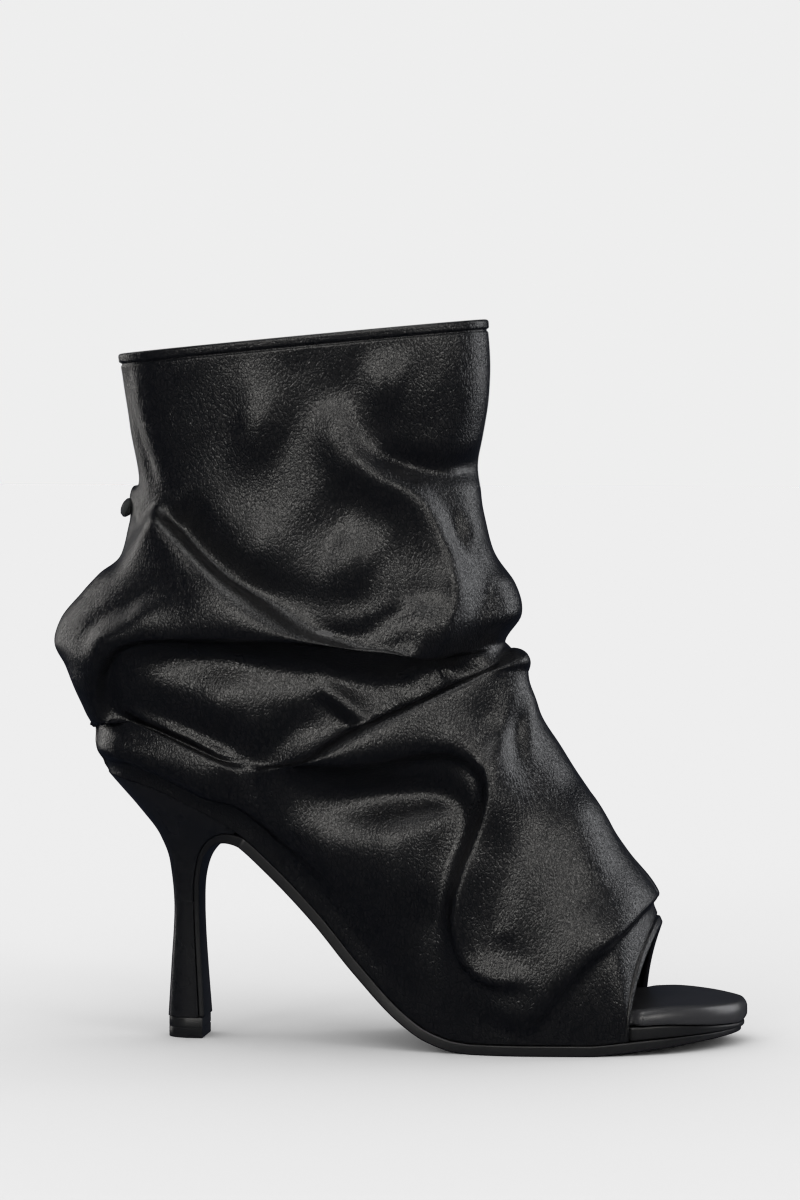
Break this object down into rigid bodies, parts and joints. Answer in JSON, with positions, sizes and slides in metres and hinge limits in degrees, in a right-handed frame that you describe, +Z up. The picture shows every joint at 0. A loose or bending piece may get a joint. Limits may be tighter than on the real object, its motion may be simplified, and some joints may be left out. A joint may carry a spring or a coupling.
{
  "type": "peep toe ankle boot",
  "caption": "Black leather ankle boot with a slouched shaft, an open toe, a padded sock and a tall flared stiletto heel",
  "frame": {"origin": "middle of the heel tip's underside, on the floor", "axes": "+X toward the toe, +Y toward the inner side of the foot, +Z up; the shoe stands empty on its heel tip and the flat of its forefoot"},
  "size_m": [0.2429, 0.096, 0.2521],
  "materials": {
    "upper_leather": "soft black leather with a fine wrinkled grain and a low sheen",
    "sock_leather": "smooth satin black leather over a soft pad",
    "board_leather": "black wrapped edge, smooth",
    "outsole_rubber": "black sole, matte to satin",
    "heel_leather": "black leather stretched over the heel, satin",
    "tip_rubber": "black matte top lift",
    "stud_metal": "dark enamelled dome"
  },
  "bodies": {
    "root": {"upper": "upper_leather", "insole_sock": "sock_leather", "insole_board": "board_leather", "outsole": "outsole_rubber", "heel": "heel_leather", "heel_tip": "tip_rubber", "pleat_stud": "stud_metal"}
  },
  "joints": []
}
